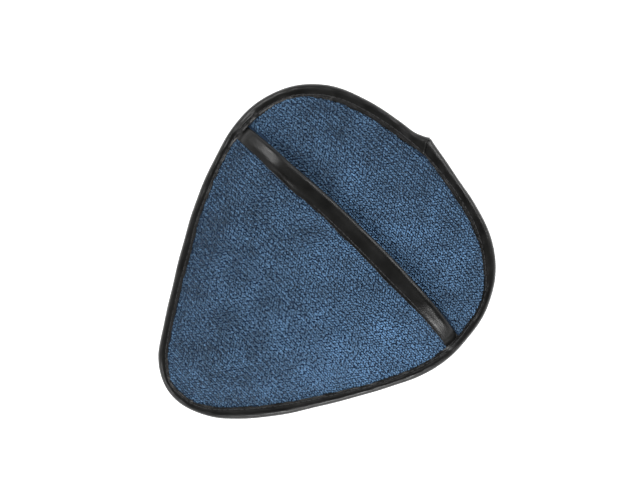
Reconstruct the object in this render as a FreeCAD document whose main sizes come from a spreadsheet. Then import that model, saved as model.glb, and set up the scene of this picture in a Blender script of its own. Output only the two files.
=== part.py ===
"""Hand polishing pad: a padded, spade-shaped microfibre pad with a hand pocket on its back.

The pad lies on its polishing face, with +Z up and the origin under the middle of its outline. +Y points
from the tip to the crown, and the hand goes into the pocket from the crown towards the tip.
Layers, from the floor up: polishing face, foam core, back panel, then the pocket panel over the tip
side. A folded tape binds the pocket's mouth, and another binds the whole rim. Each tape is sewn down
by a lockstitch, which is a needle thread on top and a bobbin thread underneath.
"""

import FreeCAD, Part

import math
import os

import Sketcher

Vector = FreeCAD.Vector

# Driving dimensions: alias, value in millimetres (or a plain share), meaning.
SIZES = [
    ("tip_down", 61.2, "tip corner's centre, towards -Y"),
    ("tip_radius", 32.5, "tip corner's radius"),
    ("right_out", 24.4, "right shoulder's centre, towards +X"),
    ("right_up", 31.2, "right shoulder's centre, towards +Y"),
    ("right_radius", 59.1, "right shoulder's radius"),
    ("left_out", 31.8, "left shoulder's centre, towards -X"),
    ("left_up", 35.8, "left shoulder's centre, towards +Y"),
    ("left_radius", 51.7, "left shoulder's radius"),
    ("right_side_radius", 279.0, "long side from the tip to the right shoulder"),
    ("crown_radius", 142.0, "crown between the shoulders"),
    ("left_side_radius", 364.0, "long side from the left shoulder to the tip"),
    ("tape_thickness", 0.8, "binding tape"),
    ("flange_width", 7.0, "how far the rim tape reaches in from the outline"),
    ("rim_round", 1.6, "rounding of the folded rim tape"),
    ("shoulder_inset", 13.0, "inset where the padding's slope eases"),
    ("plateau_inset", 22.0, "inset where the padding reaches its full height"),
    ("dome_inset", 30.0, "inset where the pocket reaches its full height"),
    ("shoulder_share", 0.55, "share of the padding's rise reached at the shoulder"),
    ("dome_share_low", 0.45, "share of the pocket's rise reached at the shoulder"),
    ("dome_share_high", 0.82, "share of the pocket's rise reached at the plateau"),
    ("edge_height", 4.4, "underside of the sewn edge, above the floor"),
    ("face_sewn", 1.3, "polishing face where it is sewn flat"),
    ("foam_sewn", 1.2, "foam where it is sewn flat"),
    ("back_sewn", 1.3, "back panel where it is sewn flat"),
    ("pocket_sewn", 1.3, "pocket panel where it is sewn flat"),
    ("face_full", 3.0, "polishing face with its pile"),
    ("foam_full", 8.0, "foam core"),
    ("back_full", 3.0, "back panel with its pile"),
    ("pocket_gap", 5.4, "free height inside the pocket"),
    ("pocket_full", 2.5, "pocket panel with its pile"),
    ("mouth_centre_out", 12.0, "centre of the mouth's arc, towards +X"),
    ("mouth_centre_down", 585.7, "centre of the mouth's arc, towards -Y"),
    ("mouth_radius", 625.0, "arc of the pocket's mouth"),
    ("mouth_tape_width", 10.0, "tape across the pocket's mouth"),
    ("trim_reach", 110.0, "half width of the cutting outlines"),
    ("lap_left", 12.0, "rim tape's lap, its end towards -X"),
    ("lap_right", 2.0, "rim tape's lap, its end towards +X"),
    ("stitch_pitch", 3.0, "stitch length, needle hole to needle hole"),
    ("stitch_share", 0.82, "share of the pitch that shows as thread"),
    ("thread_radius", 0.3, "sewing thread"),
    ("rim_seam_inset", 5.3, "rim seam, in from the outline"),
    ("mouth_seam_inset", 8.4, "mouth seam, in from the mouth's edge"),
]

BEVEL = 1 - math.cos(math.pi / 4)  # where a quarter round is halfway, as a share of its radius
STACK = ("face", "foam", "back")

doc = FreeCAD.newDocument("polishing_pad")
sizes = doc.addObject("Spreadsheet::Sheet", "sizes")
for row, (alias, value, meaning) in enumerate(SIZES, start=1):
    sizes.set(f"A{row}", alias)
    sizes.set(f"B{row}", str(value))
    sizes.set(f"C{row}", meaning)
    sizes.setAlias(f"B{row}", alias)
doc.recompute()


def size(alias):
    """The value of one driving dimension."""
    return float(sizes.get(alias))


def value_of(expression):
    """The value of an expression on the sheet, such as 'sizes.face_full + sizes.foam_full'."""
    return float(sizes.evalExpression(expression))


# ---------------------------------------------------------------- outline

CORNERS = {
    "tip": (Vector(0, -size("tip_down"), 0), size("tip_radius")),
    "right": (Vector(size("right_out"), size("right_up"), 0), size("right_radius")),
    "left": (Vector(-size("left_out"), size("left_up"), 0), size("left_radius")),
}
# Anticlockwise: the side that leaves each corner, its radius and the corner where it ends.
SIDES = (
    ("tip", "right_side_radius", "right"),
    ("right", "crown_radius", "left"),
    ("left", "left_side_radius", "tip"),
)


def side_centre(first, alias, second):
    """Centre of the arc of the given radius that touches both corner circles from outside them."""
    a, a_radius = CORNERS[first]
    b, b_radius = CORNERS[second]
    reach_a = size(alias) - a_radius
    reach_b = size(alias) - b_radius
    apart = (b - a).Length
    along = (reach_a**2 - reach_b**2 + apart**2) / (2 * apart)
    across = math.sqrt(reach_a**2 - along**2)
    forward = (b - a).normalize()
    inward = Vector(-forward.y, forward.x, 0)
    return a + forward * along + inward * across


def heading(start, end):
    """Angle of the direction from start to end."""
    return math.atan2(end.y - start.y, end.x - start.x)


def outline_arcs():
    """The six tangent arcs, anticlockwise from the tip: (centre, radius alias, first angle, last angle)."""
    centres = [side_centre(*side) for side in SIDES]
    arcs = []
    for k, (first, alias, second) in enumerate(SIDES):
        corner = CORNERS[first][0]
        begin = heading(centres[k - 1], corner)
        turn = heading(centres[k], corner)
        end = heading(centres[k], CORNERS[second][0])
        arcs.append((corner, first + "_radius", begin, turn))
        arcs.append((centres[k], alias, turn, end))
    return [(c, r, a, b if b > a else b + 2 * math.pi) for c, r, a, b in arcs]


ARCS = outline_arcs()


def inset_at(x, y):
    """How far a point inside the outline lies from it, measured square to the nearest arc."""
    found = []
    for centre, alias, begin, end in ARCS:
        angle = math.atan2(y - centre.y, x - centre.x)
        turned = (angle - begin) % (2 * math.pi)
        if turned <= end - begin:
            found.append(size(alias) - math.hypot(x - centre.x, y - centre.y))
    return min(found)


# ---------------------------------------------------------------- heights


def sewn_height(layers):
    """Expression for the height on top of these layers where they are sewn flat."""
    return " + ".join(["sizes.edge_height"] + [f"sizes.{name}_sewn" for name in layers])


def full_height(layers):
    """Expression for the height on top of these layers at the plateau."""
    return " + ".join([f"sizes.{name}_full" for name in layers]) or "0"


def risen(low, high, share):
    """Expression for a height that is a share of the way from one height to another."""
    return f"{low} + {share} * ({high} - ({low}))"


def padding_surface(layers):
    """(inset, height) expressions of the surface on top of these layers, from the middle outwards."""
    low, high = sewn_height(layers), full_height(layers)
    return [
        ("sizes.plateau_inset", high),
        ("sizes.shoulder_inset", risen(low, high, "sizes.shoulder_share")),
        ("sizes.flange_width", low),
        ("sizes.tape_thickness", low),
    ]


def dome_surface(extra_sewn, extra_full):
    """(inset, height) expressions of a surface of the pocket, from the middle outwards."""
    low = sewn_height(STACK) + extra_sewn
    high = full_height(STACK) + " + sizes.pocket_gap" + extra_full
    return [
        ("sizes.dome_inset", high),
        ("sizes.plateau_inset", risen(low, high, "sizes.dome_share_high")),
        ("sizes.shoulder_inset", risen(low, high, "sizes.dome_share_low")),
        ("sizes.flange_width", low),
        ("sizes.tape_thickness", low),
    ]


def height_on(surface, x, y):
    """Height of a surface over a point, read between its sections."""
    inset = inset_at(x, y)
    steps = [(value_of(i), value_of(h)) for i, h in surface]
    if inset >= steps[0][0]:
        return steps[0][1]
    for (inner, high), (outer, low) in zip(steps, steps[1:]):
        if inset >= outer:
            return low + (high - low) * (inset - outer) / (inner - outer)
    return steps[-1][1]


# ---------------------------------------------------------------- sketches


def plane_of(body, role):
    """One of a body's own origin planes."""
    return next(f for f in body.Origin.OriginFeatures if f.Role == role)


def flat_sketch(body, name, height):
    """An empty sketch of the body, parallel to the floor at the height that an expression gives."""
    sketch = body.newObject("Sketcher::SketchObject", name)
    sketch.AttachmentSupport = [(plane_of(body, "XY_Plane"), "")]
    sketch.MapMode = "FlatFace"
    sketch.setExpression("AttachmentOffset.Base.z", height)
    return sketch


def bind(sketch, kind, *where, to):
    """Adds a dimension to a sketch and binds it to an expression."""
    index = sketch.addConstraint(Sketcher.Constraint(kind, *where, value_of(to)))
    sketch.setExpression(f"Constraints[{index}]", to)


def outline_sketch(body, name, inset, height):
    """The pad's outline, moved in by an expression and laid at a height given by another."""
    sketch = flat_sketch(body, name, height)
    step = value_of(inset)
    for centre, alias, begin, end in ARCS:
        circle = Part.Circle(centre, Vector(0, 0, 1), size(alias) - step)
        sketch.addGeometry(Part.ArcOfCircle(circle, begin, end), False)
    for k in range(6):
        sketch.addConstraint(Sketcher.Constraint("Tangent", k, 2, (k + 1) % 6, 1))
    sketch.addConstraint(Sketcher.Constraint("PointOnObject", 0, 3, -2))
    bind(sketch, "DistanceY", 0, 3, -1, 1, to="sizes.tip_down")
    bind(sketch, "DistanceX", -1, 1, 2, 3, to="sizes.right_out")
    bind(sketch, "DistanceY", -1, 1, 2, 3, to="sizes.right_up")
    bind(sketch, "DistanceX", 4, 3, -1, 1, to="sizes.left_out")
    bind(sketch, "DistanceY", -1, 1, 4, 3, to="sizes.left_up")
    for k, (_, alias, _, _) in enumerate(ARCS):
        bind(sketch, "Radius", k, to=f"sizes.{alias} - {inset}")
    return sketch


def mouth_sketch(body, name, radius, side):
    """The region on one side of the mouth's arc: side 1 is towards the crown, and -1 towards the tip."""
    sketch = flat_sketch(body, name, "sizes.trim_reach")
    reach, arc_radius = size("trim_reach"), value_of(radius)
    centre = Vector(size("mouth_centre_out"), -size("mouth_centre_down"), 0)
    right = math.acos((reach - centre.x) / arc_radius)
    left = math.acos((-reach - centre.x) / arc_radius)
    arc = Part.ArcOfCircle(Part.Circle(centre, Vector(0, 0, 1), arc_radius), right, left)
    start, end = arc.StartPoint, arc.EndPoint
    far_left, far_right = Vector(-reach, side * reach, 0), Vector(reach, side * reach, 0)
    sketch.addGeometry(arc, False)
    sketch.addGeometry(Part.LineSegment(end, far_left), False)
    sketch.addGeometry(Part.LineSegment(far_left, far_right), False)
    sketch.addGeometry(Part.LineSegment(far_right, start), False)
    for k in range(4):
        sketch.addConstraint(Sketcher.Constraint("Coincident", k, 2, (k + 1) % 4, 1))
    sketch.addConstraint(Sketcher.Constraint("Vertical", 1))
    sketch.addConstraint(Sketcher.Constraint("Horizontal", 2))
    sketch.addConstraint(Sketcher.Constraint("Vertical", 3))
    bind(sketch, "DistanceX", 1, 2, -1, 1, to="sizes.trim_reach")
    bind(sketch, "DistanceX", -1, 1, 2, 2, to="sizes.trim_reach")
    if side > 0:
        bind(sketch, "DistanceY", -1, 1, 2, 1, to="sizes.trim_reach")
    else:
        bind(sketch, "DistanceY", 2, 1, -1, 1, to="sizes.trim_reach")
    bind(sketch, "DistanceX", -1, 1, 0, 3, to="sizes.mouth_centre_out")
    bind(sketch, "DistanceY", 0, 3, -1, 1, to="sizes.mouth_centre_down")
    bind(sketch, "Radius", 0, to=radius)
    return sketch


# ---------------------------------------------------------------- features


def loft(body, name, sections):
    """A ruled loft through outline sketches, given as (inset, height) expressions in order."""
    sketches = [
        outline_sketch(body, f"{name}_section_{k}", inset, height)
        for k, (inset, height) in enumerate(sections)
    ]
    feature = body.newObject("PartDesign::AdditiveLoft", name)
    feature.Profile = sketches[0]
    feature.Sections = sketches[1:]
    feature.Ruled = True
    return feature


def cut_down(body, name, sketch, length=None):
    """A pocket down from a sketch, through everything or to a depth that an expression gives."""
    doc.recompute()
    before = body.Shape.Volume
    pocket = body.newObject("PartDesign::Pocket", name)
    pocket.Profile = sketch
    if length is None:
        pocket.Type = "ThroughAll"
    else:
        pocket.Type = "Length"
        pocket.setExpression("Length", length)
    doc.recompute()
    if body.Shape.Volume > before - 1:
        raise RuntimeError(f"{name} cut nothing")
    return pocket


def new_body(name):
    """A body whose label names its file."""
    body = doc.addObject("PartDesign::Body", name)
    body.Label = name
    return body


def layer(name, low, high):
    """A padded layer between two surfaces, each given from the middle outwards."""
    body = new_body(name)
    loft(body, name + "_loft", low + high[::-1])
    return body


def polishing_face():
    """The microfibre panel that polishes, curving up to the sewn edge all round."""
    return layer("polishing_face", padding_surface([]), padding_surface(STACK[:1]))


def foam_core():
    """The foam that spreads the hand's pressure, squashed flat where it is sewn in."""
    return layer("foam_core", padding_surface(STACK[:1]), padding_surface(STACK[:2]))


def pocket_panel():
    """The panel over the tip side of the back, domed over the hand and open at the mouth's arc."""
    body = layer("pocket_panel", dome_surface("", ""),
                 dome_surface(" + sizes.pocket_sewn", " + sizes.pocket_full"))
    trim = mouth_sketch(body, "mouth_trim", "sizes.mouth_radius - sizes.tape_thickness", 1)
    cut_down(body, "mouth_cut", trim)
    return body


def back_panel(pocket):
    """The full panel under the hand, which gives way to the pocket panel's sewn margin."""
    top = padding_surface(STACK)
    margin = sewn_height(STACK) + " + sizes.pocket_sewn"
    top = top[:2] + [(inset, margin) for inset, _ in top[2:]]
    block = layer("back_block", padding_surface(STACK[:2]), top)
    panel = doc.addObject("Part::Cut", "back_panel")
    panel.Base, panel.Tool = block, pocket
    panel.Label = "back_panel"
    return panel


def folded_ring(body, outward):
    """Tape folded round the whole edge, thicker on the outside by an expression."""
    low = f"sizes.edge_height - sizes.tape_thickness - {outward}"
    high = sewn_height(STACK) + f" + sizes.pocket_sewn + sizes.tape_thickness + {outward}"
    bevel = f"{BEVEL:.4f} * sizes.rim_round"
    lower = [
        ("sizes.flange_width", low),
        (f"sizes.rim_round - {outward}", low),
        (f"{bevel} - {outward}", f"{low} + {bevel}"),
        (f"0 - {outward}", f"{low} + sizes.rim_round"),
    ]
    upper = [
        (f"0 - {outward}", f"{high} - sizes.rim_round"),
        (f"{bevel} - {outward}", f"{high} - {bevel}"),
        (f"sizes.rim_round - {outward}", high),
        ("sizes.flange_width", high),
    ]
    prefix = body.Name
    loft(body, prefix + "_rim", lower + upper)
    slot = outline_sketch(body, prefix + "_slot", "sizes.tape_thickness",
                          sewn_height(STACK) + " + sizes.pocket_sewn")
    stack = " + ".join(f"sizes.{name}_sewn" for name in STACK + ("pocket",))
    cut_down(body, prefix + "_slot_cut", slot, stack)
    window = outline_sketch(body, prefix + "_window", "sizes.flange_width", "sizes.trim_reach")
    cut_down(body, prefix + "_window_cut", window)


def edge_binding():
    """The rim tape, with the lap at the crown where its end is turned under and covers its start."""
    ring = new_body("edge_ring")
    folded_ring(ring, "0")
    thick_ring = new_body("edge_thick_ring")
    folded_ring(thick_ring, "sizes.tape_thickness")
    stretch = doc.addObject("Part::Box", "lap_stretch")
    stretch.setExpression("Length", "sizes.lap_left + sizes.lap_right")
    stretch.setExpression("Width", "sizes.trim_reach")
    stretch.setExpression("Height", "sizes.trim_reach")
    stretch.setExpression("Placement.Base.x", "0 - sizes.lap_left")
    lap = doc.addObject("Part::Common", "edge_lap")
    lap.Base, lap.Tool = thick_ring, stretch
    tape = doc.addObject("Part::Fuse", "edge_binding")
    tape.Base, tape.Tool = ring, lap
    tape.Label = "edge_binding"
    return tape


def pocket_binding(pocket, back):
    """The tape folded over the mouth's edge, running down into the rim tape at both ends."""
    block = new_body("mouth_block")
    thickness = "sizes.tape_thickness"
    low = dome_surface(f" - {thickness}", f" - {thickness}")[:4]
    high = dome_surface(f" + sizes.pocket_sewn + {thickness}", f" + sizes.pocket_full + {thickness}")[:4]
    loft(block, "mouth_block_loft", low + high[::-1])
    crown_side = mouth_sketch(block, "mouth_edge", "sizes.mouth_radius", 1)
    cut_down(block, "mouth_edge_cut", crown_side)
    tip_side = mouth_sketch(block, "mouth_hem", "sizes.mouth_radius - sizes.mouth_tape_width", -1)
    cut_down(block, "mouth_hem_cut", tip_side)
    folded = doc.addObject("Part::Cut", "mouth_folded")
    folded.Base, folded.Tool = block, pocket
    tape = doc.addObject("Part::Cut", "pocket_binding")
    tape.Base, tape.Tool = folded, back
    tape.Label = "pocket_binding"
    return tape


# ---------------------------------------------------------------- stitches


def stitch(start, end, up):
    """One stitch: half a round thread lying on the tape from one needle hole towards the next."""
    along = end - start
    length = along.Length * size("stitch_share")
    thread = Part.makeCylinder(size("thread_radius"), length, Vector(), Vector(0, 0, 1), 180)
    # The half cylinder rises along local +Y and runs along local +Z.
    forward = along.normalize()
    across = up.cross(forward).normalize()
    turn = FreeCAD.Rotation(across, forward.cross(across), forward, "ZYX")
    gap = forward * (0.5 * (end - start).Length * (1 - size("stitch_share")))
    thread.Placement = FreeCAD.Placement(start + gap, turn)
    return thread


def thread_row(name, points, up):
    """A part that holds one seam's thread on one side, a stitch between each two needle holes."""
    part = doc.addObject("Part::Feature", name)
    part.Label = name
    part.Shape = Part.makeCompound([stitch(a, b, up) for a, b in zip(points, points[1:])])
    return part


def rim_holes(height, lap_lift):
    """Needle holes of the rim seam, evenly spaced all round at a height, and lifted over the lap."""
    edges = []
    for centre, alias, begin, end in ARCS:
        circle = Part.Circle(centre, Vector(0, 0, 1), size(alias) - size("rim_seam_inset"))
        edges.append(Part.ArcOfCircle(circle, begin, end).toShape())
    path = Part.Wire(edges)
    count = round(path.Length / size("stitch_pitch"))
    holes = path.discretize(Number=count + 1)
    for hole in holes:
        on_lap = hole.y > 0 and -size("lap_left") <= hole.x <= size("lap_right")
        hole.z = height + (lap_lift if on_lap else 0)
    return holes


def mouth_holes(surface):
    """Needle holes of the mouth seam, on an arc beside the tape's edge and at a surface's height."""
    radius = size("mouth_radius") - size("mouth_seam_inset")
    centre = Vector(size("mouth_centre_out"), -size("mouth_centre_down"), 0)
    steps = int(size("trim_reach") / radius / (size("stitch_pitch") / radius))
    holes = []
    for k in range(-steps, steps + 1):
        angle = math.pi / 2 - k * size("stitch_pitch") / radius
        x = centre.x + radius * math.cos(angle)
        y = centre.y + radius * math.sin(angle)
        if abs(x) < size("trim_reach") and inside(x, y):
            holes.append(Vector(x, y, height_on(surface, x, y)))
    return holes


def inside(x, y):
    """Whether a point is clear of the rim tape's flange."""
    polar = math.hypot(x, y)
    return polar < size("trim_reach") and inset_at(x, y) > size("flange_width") + size("stitch_pitch")


def threads():
    """The four threads of the two lockstitch seams."""
    top = value_of(sewn_height(STACK)) + size("pocket_sewn") + size("tape_thickness")
    bottom = size("edge_height") - size("tape_thickness")
    lift = size("tape_thickness")
    over = dome_surface(" + sizes.pocket_sewn + sizes.tape_thickness",
                        " + sizes.pocket_full + sizes.tape_thickness")
    under = dome_surface(" - sizes.tape_thickness", " - sizes.tape_thickness")
    return [
        thread_row("rim_needle_thread", rim_holes(top, lift), Vector(0, 0, 1)),
        thread_row("rim_bobbin_thread", rim_holes(bottom, -lift), Vector(0, 0, -1)),
        thread_row("mouth_needle_thread", mouth_holes(over), Vector(0, 0, 1)),
        thread_row("mouth_bobbin_thread", mouth_holes(under), Vector(0, 0, -1)),
    ]


# ---------------------------------------------------------------- build and write

pocket = pocket_panel()
back = back_panel(pocket)
parts = [
    polishing_face(),
    foam_core(),
    back,
    pocket,
    edge_binding(),
    pocket_binding(pocket, back),
    *threads(),
]
doc.recompute()

for item in doc.Objects:
    if "Invalid" in item.State or "Error" in item.State:
        raise RuntimeError(f"{item.Name} failed: {item.State}")

os.makedirs("parts", exist_ok=True)
for part in parts:
    shape = part.Shape
    if shape.isNull() or not shape.isValid():
        raise RuntimeError(f"{part.Label} has no valid shape")
    shape.exportStep(f"parts/{part.Label}.step")
    box = shape.optimalBoundingBox(False)
    spans = [(box.XMin, box.XMax), (box.YMin, box.YMax), (box.ZMin, box.ZMax)]
    extent = ", ".join(f"{low:.1f}..{high:.1f}" for low, high in spans)
    print(f"{part.Label}: {len(shape.Solids)} solids, {shape.Volume / 1000:.1f} cm3, {extent} mm")
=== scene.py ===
import functools
import math

import bpy
import numpy as np
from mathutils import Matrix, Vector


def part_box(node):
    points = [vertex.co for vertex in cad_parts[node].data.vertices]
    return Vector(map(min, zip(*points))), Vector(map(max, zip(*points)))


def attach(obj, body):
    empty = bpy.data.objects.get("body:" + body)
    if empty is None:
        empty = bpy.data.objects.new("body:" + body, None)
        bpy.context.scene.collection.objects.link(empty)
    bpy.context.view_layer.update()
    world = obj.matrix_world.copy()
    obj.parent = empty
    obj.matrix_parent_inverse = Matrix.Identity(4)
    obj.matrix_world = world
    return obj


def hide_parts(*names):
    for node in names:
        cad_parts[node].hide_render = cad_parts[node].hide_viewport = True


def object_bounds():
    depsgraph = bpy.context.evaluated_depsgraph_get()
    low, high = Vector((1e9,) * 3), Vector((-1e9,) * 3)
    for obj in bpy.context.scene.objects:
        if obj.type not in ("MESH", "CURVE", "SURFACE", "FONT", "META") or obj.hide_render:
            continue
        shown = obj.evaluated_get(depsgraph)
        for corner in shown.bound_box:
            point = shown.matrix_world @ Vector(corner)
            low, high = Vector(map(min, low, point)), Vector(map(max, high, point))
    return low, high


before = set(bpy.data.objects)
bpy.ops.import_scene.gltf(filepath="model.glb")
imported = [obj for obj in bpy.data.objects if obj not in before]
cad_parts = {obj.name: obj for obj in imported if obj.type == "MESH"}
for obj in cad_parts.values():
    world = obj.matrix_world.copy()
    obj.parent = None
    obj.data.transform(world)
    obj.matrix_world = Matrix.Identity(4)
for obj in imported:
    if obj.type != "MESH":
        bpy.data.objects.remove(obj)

# A hand polishing pad, sewn from microfibre terry round a foam core. A panel over its tip side makes a
# pocket for the fingers, and coated tapes bind the pocket's mouth and the whole rim. Every piece is a
# surface worked out with numpy in metres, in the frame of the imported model: +Z up, tip towards -Y.

bl_info = {
    "name": "Hand polishing pad",
    "version": (1, 0, 0),
    "blender": (4, 5, 0),
    "location": "3D View > Sidebar > Polishing pad",
    "description": "Builds a sewn terry polishing pad with a hand pocket round its packed frame",
    "category": "Add Mesh",
}

CAD_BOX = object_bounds()
MM = 0.001
TURN = 2 * math.pi

# Outline: corner circles (x, y, radius) of the tip and the two shoulders, and the arcs between them.
CORNERS = np.array([(0.0, -61.2, 32.5), (24.4, 31.2, 59.1), (-31.8, 35.8, 51.7)]) * MM
SIDE_RADII = np.array([279.0, 142.0, 364.0]) * MM
MOUTH_CENTRE = np.array([12.0, -585.7]) * MM
MOUTH_RADIUS = 625.0 * MM
MIDDLE = np.array([0.0, 8.0]) * MM
POCKET_MIDDLE = np.array([0.0, -8.0]) * MM

# Tapes: thickness, the rim tape's lower flange, its seam from the outline, and a seam's least distance
# from a flange's edge. Then the rim tape's lap at the crown, and the widths that both tapes were cut to.
TAPE = 0.8 * MM
FLANGE = 7.0 * MM
RIM_SEAM = 5.3 * MM
SEAM_TO_EDGE = 1.3 * MM
RIM_LAP = 14 * MM

# Half the field that the loops are laid out on, and where the pocket's loops are parted into two pieces.
HALF_LENGTH = 95 * MM
HALF_WIDTH = 86 * MM
POCKET_SPLIT = -14.0 * MM


def levels(node):
    """Lowest and highest z of a node of the frame."""
    low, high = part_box(node)
    return low[2], high[2]


# Heights of the layers. A layer's lowest or highest level is its sewn one where the pad's edge rises.
RIM_LOW, RIM_HIGH = levels("edge_binding")[0] + 2 * TAPE, levels("edge_binding")[1] - 2 * TAPE
FACE_SEWN = levels("polishing_face")[1]
FOAM_LOW, FOAM_HIGH = levels("foam_core")
BACK_SEWN, BACK_HIGH = levels("back_panel")
POCKET_SEWN, POCKET_HIGH = levels("pocket_panel")
POCKET_PLY = 2.5 * MM

# In from the outline: where the cloths end inside the fold, and where the padding starts to swell. The
# loops run on a little way under a tape's edge.
CLOTH_MARGIN = 3.4 * MM
SWELL_FROM = 7.6 * MM
LOOPS_UNDER = 0.35 * MM

# Points of the simulated padding, round it and out from its middle.
CUSHION_SPOKES = 144
CUSHION_RINGS = 24


class PadSizes(bpy.types.PropertyGroup):
    """Sizes of the cloth, tape and thread."""

    rib_pitch: bpy.props.FloatProperty(
        name="Rib pitch", description="Distance from one row of loops to the next",
        default=2.17 * MM, min=1.0 * MM, max=6.0 * MM, unit="LENGTH", precision=5)
    loop_pitch: bpy.props.FloatProperty(
        name="Loop pitch", description="Distance from loop to loop along a row",
        default=1.5 * MM, min=0.8 * MM, max=5.0 * MM, unit="LENGTH", precision=5)
    loop_height: bpy.props.FloatProperty(
        name="Loop height", description="How far the loops stand off the knitted ground",
        default=1.6 * MM, min=0.5 * MM, max=5.0 * MM, unit="LENGTH", precision=5)
    yarn_radius: bpy.props.FloatProperty(
        name="Yarn radius", description="Radius of the yarn in a loop",
        default=0.45 * MM, min=0.1 * MM, max=1.5 * MM, unit="LENGTH", precision=5)
    stitch_pitch: bpy.props.FloatProperty(
        name="Stitch length", description="Distance between needle holes",
        default=3.0 * MM, min=1.5 * MM, max=6.0 * MM, unit="LENGTH", precision=5)
    thread_radius: bpy.props.FloatProperty(
        name="Thread radius", description="Radius of the sewing thread",
        default=0.26 * MM, min=0.1 * MM, max=0.6 * MM, unit="LENGTH", precision=5)
    mouth_tape_width: bpy.props.FloatProperty(
        name="Mouth tape width", description="Width of the tape that shows across the pocket's mouth",
        default=10.7 * MM, min=5.0 * MM, max=15.0 * MM, unit="LENGTH", precision=5)


class PadColours(bpy.types.PropertyGroup):
    """Colours of the pad and of the floor."""

    terry: bpy.props.FloatVectorProperty(
        name="Terry", description="Yarn of the microfibre loops", subtype="COLOR", size=3,
        default=(0.09, 0.185, 0.318), min=0.0, max=1.0)
    # The ground's colour is much darker than the yarn's: painted shade for the gaps between the loops.
    ground: bpy.props.FloatVectorProperty(
        name="Ground", description="Knitted ground under the loops", subtype="COLOR", size=3,
        default=(0.016, 0.042, 0.09), min=0.0, max=1.0)
    tape: bpy.props.FloatVectorProperty(
        name="Tape", description="Coated binding tape", subtype="COLOR", size=3,
        default=(0.004, 0.004, 0.0037), min=0.0, max=1.0)
    thread: bpy.props.FloatVectorProperty(
        name="Thread", description="Sewing thread", subtype="COLOR", size=3,
        default=(0.014, 0.014, 0.015), min=0.0, max=1.0)
    foam: bpy.props.FloatVectorProperty(
        name="Foam", description="Foam core", subtype="COLOR", size=3,
        default=(0.55, 0.56, 0.55), min=0.0, max=1.0)
    floor: bpy.props.FloatVectorProperty(
        name="Floor", description="Studio floor", subtype="COLOR", size=3,
        default=(0.9, 0.9, 0.9), min=0.0, max=1.0)


# ---------------------------------------------------------------- numbers


def eased(share):
    """Smooth step: 0 up to 0, 1 from 1 on, and 3t^2 - 2t^3 between."""
    share = np.clip(share, 0.0, 1.0)
    return share * share * (3 - 2 * share)


def hump(place, centre, width):
    """Bell curve of height 1: exp of minus half the squared distance in widths."""
    return np.exp(-0.5 * ((place - centre) / width) ** 2)


def waves(place, lengths, seed):
    """Sum of sines of the given wavelengths with seeded phases, scaled to run from about -1 to 1."""
    phases = np.random.default_rng(seed).uniform(0, TURN, len(lengths))
    total = sum(np.sin(TURN * place / length + phase) for length, phase in zip(lengths, phases))
    return total / math.sqrt(2 * len(lengths))


def drift(x, y, length, seed):
    """Slow variation over the pad: six sines in seeded directions, their wavelengths near length."""
    rng = np.random.default_rng(seed)
    total = 0.0
    angles, stretches, phases = rng.uniform(0, TURN, 6), rng.uniform(0.6, 1.6, 6), rng.uniform(0, TURN, 6)
    for angle, stretch, phase in zip(angles, stretches, phases):
        run = x * math.cos(angle) + y * math.sin(angle)
        total = total + np.sin(TURN * run / (length * stretch) + phase)
    return total / math.sqrt(12)


# ---------------------------------------------------------------- outline


def heading(start, end):
    """Angle of the direction from start to end."""
    return math.atan2(end[1] - start[1], end[0] - start[0])


def outline_arcs():
    """The six tangent arcs, anticlockwise from the tip: rows of centre x, centre y, radius, start, sweep.

    A side arc of radius R touches two corner circles from outside them, so its centre lies at R less
    each corner's radius from that corner's centre, on the inner side."""
    centres = []
    for k, radius in enumerate(SIDE_RADII):
        a, b = CORNERS[k], CORNERS[(k + 1) % 3]
        apart = math.dist(a[:2], b[:2])
        forward = (b - a)[:2] / apart
        along = ((radius - a[2]) ** 2 - (radius - b[2]) ** 2 + apart**2) / (2 * apart)
        across = math.sqrt((radius - a[2]) ** 2 - along**2)
        centres.append(a[:2] + forward * along + np.array([-forward[1], forward[0]]) * across)
    arcs = []
    for k, radius in enumerate(SIDE_RADII):
        corner, following = CORNERS[k], CORNERS[(k + 1) % 3]
        begin, turn = heading(centres[k - 1], corner), heading(centres[k], corner)
        end = heading(centres[k], following)
        arcs.append((*corner, begin, (turn - begin) % TURN))
        arcs.append((*centres[k], radius, turn, (end - turn) % TURN))
    return np.array(arcs)


ARCS = outline_arcs()
ARC_ENDS = np.cumsum(ARCS[:, 2] * ARCS[:, 4])
PERIMETER = ARC_ENDS[-1]


def rim_at(along):
    """Point on the outline, outward direction and radius of curvature at distances along it."""
    along = np.mod(along, PERIMETER)
    k = np.minimum(np.searchsorted(ARC_ENDS, along, side="right"), len(ARCS) - 1)
    x, y, radius, start, sweep = np.moveaxis(ARCS[k], -1, 0)
    angle = start + (along - (ARC_ENDS[k] - radius * sweep)) / radius
    out = np.stack([np.cos(angle), np.sin(angle)], axis=-1)
    return np.stack([x, y], axis=-1) + radius[..., None] * out, out, radius


def nearest_along(x, y):
    """Distance along the outline of the place nearest to a point."""
    tries = np.linspace(0, PERIMETER, 4000, endpoint=False)
    points = rim_at(tries)[0]
    return tries[np.argmin(np.hypot(points[:, 0] - x, points[:, 1] - y))]


def nearest_rim(x, y):
    """How far points lie inside the outline, and how far along it the nearest place is.

    Both are read off the nearest of the arcs whose sectors hold the point."""
    inset, along = np.full(np.shape(x), np.inf), np.zeros(np.shape(x))
    for (centre_x, centre_y, radius, start, sweep), end in zip(ARCS, ARC_ENDS):
        turned = np.mod(np.arctan2(y - centre_y, x - centre_x) - start + 1e-9, TURN)
        here = radius - np.hypot(x - centre_x, y - centre_y)
        nearer = (turned <= sweep + 2e-9) & (here < inset)
        inset = np.where(nearer, here, inset)
        along = np.where(nearer, end - radius * sweep + turned * radius, along)
    return inset, along


def inset_at(x, y):
    """How far points lie inside the outline."""
    return nearest_rim(x, y)[0]


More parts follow.
